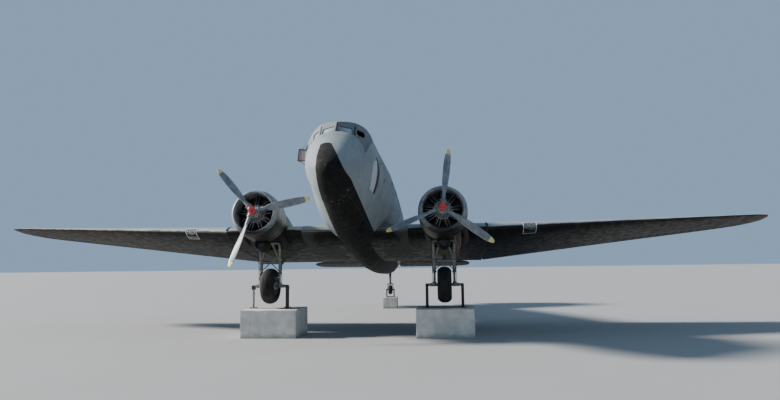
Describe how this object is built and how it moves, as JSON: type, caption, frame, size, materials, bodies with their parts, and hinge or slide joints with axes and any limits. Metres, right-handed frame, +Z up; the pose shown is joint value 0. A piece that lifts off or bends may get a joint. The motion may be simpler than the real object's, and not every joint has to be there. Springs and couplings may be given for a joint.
{
  "type": "military transport plane",
  "caption": "Twin-engined low-wing transport plane with a tail wheel, its axles held by steel posts on concrete plinths; hollow cockpit and cargo cabin with opening doors.",
  "frame": {"origin": "on the floor below the middle of the whole length and span", "axes": "+Z up, nose toward -Y, +X toward the port wing tip"},
  "size_m": [28.8, 19.8296, 6.1887],
  "materials": {
    "airframe_paint": "weathered matt",
    "wing_paint": "weathered matt, dusty",
    "cowl_metal": "dull",
    "engine_metal": "oily",
    "blade_paint": "faded satin",
    "dome_paint": "satin",
    "gear_paint": "worn satin",
    "rusty_steel": "rusty",
    "tyre": "matt",
    "rim_metal": "dull",
    "concrete": "rough concrete",
    "cockpit_trim": "matt",
    "floor_metal": "worn",
    "glass": "clear"
  },
  "bodies": {
    "airframe": {"windscreen_pane_port": "glass", "windscreen_pane_starboard": "glass", "fuselage_nose": "airframe_paint", "fuselage_cockpit": "airframe_paint", "fuselage_cabin_front": "airframe_paint", "fuselage_cabin_rear": "airframe_paint", "cabin_floor": "floor_metal", "cockpit_bulkhead": "airframe_paint", "instrument_panel": "cockpit_trim", "pilot_seats": "cockpit_trim", "fuselage_tail": "airframe_paint", "wing_port": "wing_paint", "wing_starboard": "wing_paint", "cowl_port": "cowl_metal", "cowl_starboard": "cowl_metal", "engine_port": "engine_metal", "engine_starboard": "engine_metal", "nacelle_port": "airframe_paint", "nacelle_starboard": "airframe_paint", "exhaust_port": "engine_metal", "exhaust_starboard": "engine_metal", "gear_legs_port": "gear_paint", "gear_legs_starboard": "gear_paint", "gear_drag_strut_port": "gear_paint", "gear_drag_strut_starboard": "gear_paint", "wing_centre": "wing_paint", "tailplane_port": "airframe_paint", "tailplane_starboard": "airframe_paint", "fin": "airframe_paint", "tail_wheel_fork": "gear_paint", "plinth_port": "concrete", "plinth_starboard": "concrete", "axle_posts_port": "rusty_steel", "axle_posts_starboard": "rusty_steel", "plinth_tail": "concrete", "tail_cradle": "rusty_steel"},
    "propeller_port": {"propeller_port": "blade_paint", "propeller_dome_port": "dome_paint"},
    "propeller_starboard": {"propeller_starboard": "blade_paint", "propeller_dome_starboard": "dome_paint"},
    "wheel_port": {"main_tyre_port": "tyre", "main_rim_port": "rim_metal"},
    "wheel_starboard": {"main_tyre_starboard": "tyre", "main_rim_starboard": "rim_metal"},
    "tail_wheel": {"tail_tyre": "tyre", "tail_rim": "rim_metal"},
    "rudder": {"rudder": "airframe_paint"},
    "elevator_port": {"elevator_port": "airframe_paint"},
    "elevator_starboard": {"elevator_starboard": "airframe_paint"},
    "aileron_port": {"aileron_port": "wing_paint"},
    "aileron_starboard": {"aileron_starboard": "wing_paint"},
    "flap_inner_port": {"flap_inner_port": "wing_paint"},
    "flap_inner_starboard": {"flap_inner_starboard": "wing_paint"},
    "flap_outer_port": {"flap_outer_port": "wing_paint"},
    "flap_outer_starboard": {"flap_outer_starboard": "wing_paint"},
    "crew_door": {"crew_door": "airframe_paint"},
    "cargo_door_front": {"cargo_door_front": "airframe_paint"},
    "cargo_door_rear": {"cargo_door_rear": "airframe_paint"}
  },
  "joints": [
    {"name": "propeller_port_spin", "type": "hinge", "parent": "airframe", "child": "propeller_port", "pos_m": [2.82, -7.11662, 3.8725], "axis": [0, -0.9829, 0.184], "continuous": true},
    {"name": "propeller_starboard_spin", "type": "hinge", "parent": "airframe", "child": "propeller_starboard", "pos_m": [-2.82, -8.09955, 4.05646], "axis": [0, 0.9829, -0.184], "continuous": true},
    {"name": "wheel_port_spin", "type": "hinge", "parent": "airframe", "child": "wheel_port", "pos_m": [2.82, -5.19555, 1.58], "axis": [1, 0, 0], "continuous": true},
    {"name": "wheel_starboard_spin", "type": "hinge", "parent": "airframe", "child": "wheel_starboard", "pos_m": [-3.82, -5.19555, 1.58], "axis": [1, 0, 0], "continuous": true},
    {"name": "tail_wheel_spin", "type": "hinge", "parent": "airframe", "child": "tail_wheel", "pos_m": [0, 6.30183, 0.93402], "axis": [1, 0, 0], "continuous": true},
    {"name": "rudder_hinge", "type": "hinge", "parent": "airframe", "child": "rudder", "pos_m": [0, 7.87322, 2.64414], "axis": [0, 0.184, 0.9829], "range_deg": [-30, 30]},
    {"name": "elevator_port_hinge", "type": "hinge", "parent": "airframe", "child": "elevator_port", "pos_m": [0.43, 7.09319, 2.28144], "axis": [1, 0, 0], "range_deg": [-20, 30]},
    {"name": "elevator_starboard_hinge", "type": "hinge", "parent": "airframe", "child": "elevator_starboard", "pos_m": [-3.85, 7.09319, 2.28144], "axis": [1, 0, 0], "range_deg": [-20, 30]},
    {"name": "aileron_port_hinge", "type": "hinge", "parent": "airframe", "child": "aileron_port", "pos_m": [9.15, -1.92325, 3.15244], "axis": [0.9908, 0.0963, 0.0955], "range_deg": [-25, 25]},
    {"name": "aileron_starboard_hinge", "type": "hinge", "parent": "airframe", "child": "aileron_starboard", "pos_m": [-13.2, -1.52977, 3.54269], "axis": [0.9908, -0.0963, -0.0955], "range_deg": [-25, 25]},
    {"name": "flap_inner_port_hinge", "type": "hinge", "parent": "airframe", "child": "flap_inner_port", "pos_m": [0.62, -2.18301, 2.48104], "axis": [1, 0, 0], "range_deg": [-45, 0]},
    {"name": "flap_inner_starboard_hinge", "type": "hinge", "parent": "airframe", "child": "flap_inner_starboard", "pos_m": [-3.9, -2.18301, 2.48104], "axis": [1, 0, 0], "range_deg": [-45, 0]},
    {"name": "flap_outer_port_hinge", "type": "hinge", "parent": "airframe", "child": "flap_outer_port", "pos_m": [4.25851, -2.17546, 2.49146], "axis": [0.9901, 0.0828, 0.1137], "range_deg": [-45, 0]},
    {"name": "flap_outer_starboard_hinge", "type": "hinge", "parent": "airframe", "child": "flap_outer_starboard", "pos_m": [-8.89851, -1.78763, 3.02424], "axis": [0.9901, -0.0828, -0.1137], "range_deg": [-45, 0]},
    {"name": "crew_door_hinge", "type": "hinge", "parent": "airframe", "child": "crew_door", "pos_m": [1.04692, -7.46065, 3.93689], "axis": [0, 0.184, 0.9829], "range_deg": [-90, 0]},
    {"name": "cargo_door_front_hinge", "type": "hinge", "parent": "airframe", "child": "cargo_door_front", "pos_m": [1.21155, 0.6584, 2.41745], "axis": [0, 0.184, 0.9829], "range_deg": [-150, 0]},
    {"name": "cargo_door_rear_hinge", "type": "hinge", "parent": "airframe", "child": "cargo_door_rear", "pos_m": [1.04343, 2.77171, 2.02195], "axis": [0, 0.184, 0.9829], "range_deg": [0, 150]}
  ],
  "couplings": [
    {"joint": "elevator_starboard_hinge", "follows": "elevator_port_hinge", "ratio": 1},
    {"joint": "aileron_starboard_hinge", "follows": "aileron_port_hinge", "ratio": -1},
    {"joint": "flap_inner_starboard_hinge", "follows": "flap_inner_port_hinge", "ratio": 1},
    {"joint": "flap_outer_port_hinge", "follows": "flap_inner_port_hinge", "ratio": 1},
    {"joint": "flap_outer_starboard_hinge", "follows": "flap_inner_port_hinge", "ratio": 1}
  ]
}
